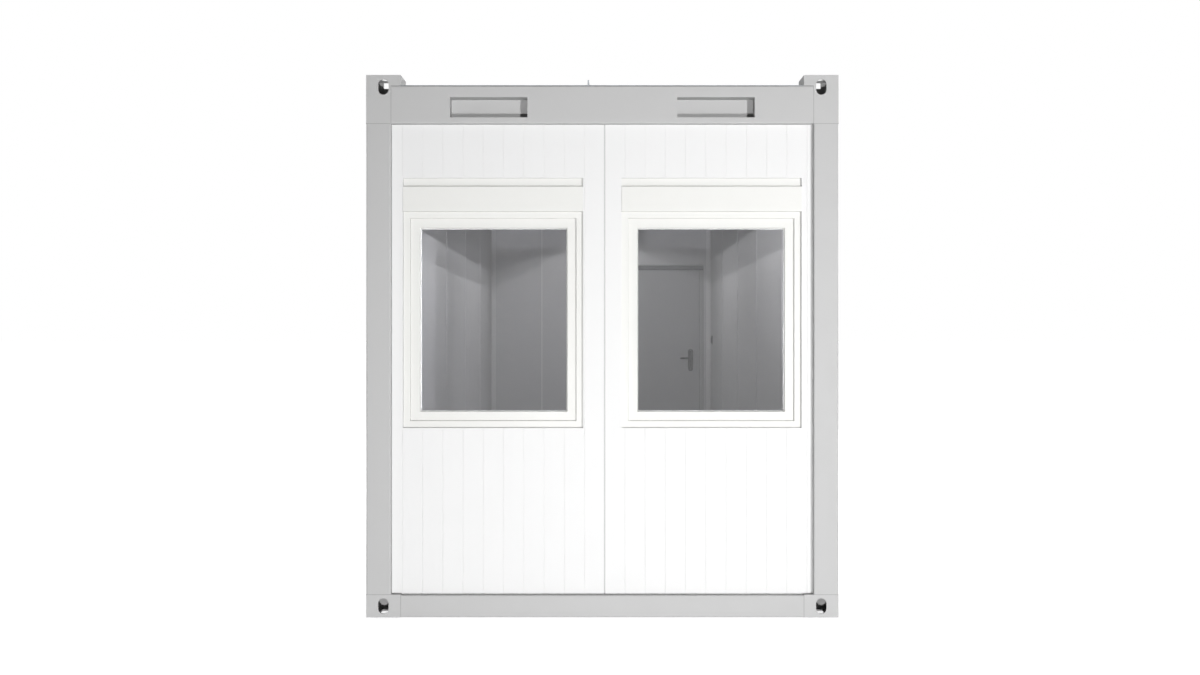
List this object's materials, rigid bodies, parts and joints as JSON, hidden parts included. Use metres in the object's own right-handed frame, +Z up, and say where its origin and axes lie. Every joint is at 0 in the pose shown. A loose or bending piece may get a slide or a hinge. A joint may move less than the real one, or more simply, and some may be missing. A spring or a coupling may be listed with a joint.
{
  "type": "portable site cabin",
  "caption": "Portable site cabin: steel-framed room with grooved sandwich walls, windows with roller shutter boxes in the front, a hinged door at the back and hollow corner fittings.",
  "frame": {"origin": "on the ground under the middle of the cabin", "axes": "+X across the front to the right as seen from outside the windows, +Y from the window wall to the door wall, +Z up"},
  "size_m": [2.438, 6.058, 2.8],
  "materials": {
    "frame_steel": "smooth factory paint, pale grey, satin",
    "wall_skin": "coil-coated steel skin, white, satin",
    "window_plastic": "white window plastic, satin",
    "glass": "clear float glass",
    "galvanised": "galvanised sheet, dull spangle",
    "roof_metal": "galvanised roof sheet, dull",
    "floor_board": "bare chipboard",
    "floor_vinyl": "grey speckled vinyl",
    "lining_white": "white coated board, satin",
    "trim_white": "white trim plastic",
    "door_paint": "smooth white paint on steel",
    "door_frame_paint": "smooth white paint on steel",
    "hardware_black": "black moulded handle plastic",
    "lock_brass": "nickel plated lock",
    "hinge_steel": "zinc plated steel",
    "seal_rubber": "black rubber",
    "threshold_metal": "mill finish aluminium",
    "switch_plastic": "white switch plastic"
  },
  "bodies": {
    "cabin": {"floor_corner_fittings": "frame_steel", "roof_corner_fittings": "frame_steel", "corner_posts": "frame_steel", "front_roof_beam": "frame_steel", "front_beam_pockets": "frame_steel", "rear_roof_beam": "frame_steel", "side_roof_beams": "frame_steel", "end_floor_beams": "frame_steel", "side_floor_beams": "frame_steel", "floor_cross_members": "galvanised", "underfloor_sheet": "galvanised", "floor_board": "floor_board", "floor_covering": "floor_vinyl", "front_left_panel": "wall_skin", "front_right_panel": "wall_skin", "left_wall_panels": "wall_skin", "right_wall_panels": "wall_skin", "rear_hinge_side_panels": "wall_skin", "rear_latch_side_panel": "wall_skin", "rear_over_door_panel": "wall_skin", "left_window_frame": "window_plastic", "right_window_frame": "window_plastic", "left_window_sash": "window_plastic", "right_window_sash": "window_plastic", "window_glass": "glass", "shutter_boxes": "window_plastic", "window_handles": "trim_white", "door_frame": "door_frame_paint", "door_threshold": "threshold_metal", "door_seal": "seal_rubber", "hinge_frame_halves": "hinge_steel", "ceiling_panels": "lining_white", "roof_cross_members": "galvanised", "roof_sheet": "roof_metal", "corner_trims": "trim_white", "joint_strips": "trim_white", "skirting": "trim_white", "light_switch": "switch_plastic"},
    "door": {"door_leaf": "door_paint", "door_plates": "hardware_black", "lock_cylinder": "lock_brass", "hinge_leaf_halves": "hinge_steel"},
    "lever": {"door_levers": "hardware_black"}
  },
  "joints": [
    {"name": "door_hinge", "type": "hinge", "parent": "cabin", "child": "door", "pos_m": [0.209, 3.011, 1.16], "axis": [0, 0, 1], "range_deg": [0, 110]},
    {"name": "lever_turn", "type": "hinge", "parent": "door", "child": "lever", "pos_m": [0.918, 2.964, 1.232], "axis": [0, 1, 0], "range_deg": [-45, 0], "stiffness_Nm_per_rad": 1, "springref_deg": 20.05}
  ]
}
